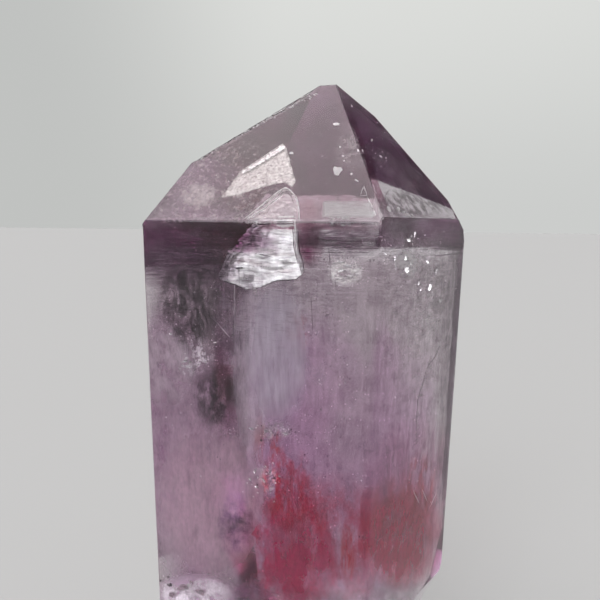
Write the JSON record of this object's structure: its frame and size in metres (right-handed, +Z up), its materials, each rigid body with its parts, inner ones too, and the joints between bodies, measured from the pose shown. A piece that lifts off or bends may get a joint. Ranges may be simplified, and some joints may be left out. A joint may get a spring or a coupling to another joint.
{
  "type": "amethyst scepter",
  "caption": "Clear violet quartz scepter: a wide pointed crystal head grown over a thinner stem, standing on the stem's flat cut foot.",
  "frame": {"origin": "on the stem's flat cut, under the middle of the head", "axes": "+Z up along the crystal's long axis to the point, -Y towards the viewer of the picture, +X to the viewer's right"},
  "size_m": [0.0226, 0.0182, 0.054],
  "materials": {
    "amethyst": "natural crystal faces, clear violet with veils and cracks inside"
  },
  "bodies": {
    "root": {"amethyst_scepter": "amethyst"}
  },
  "joints": []
}
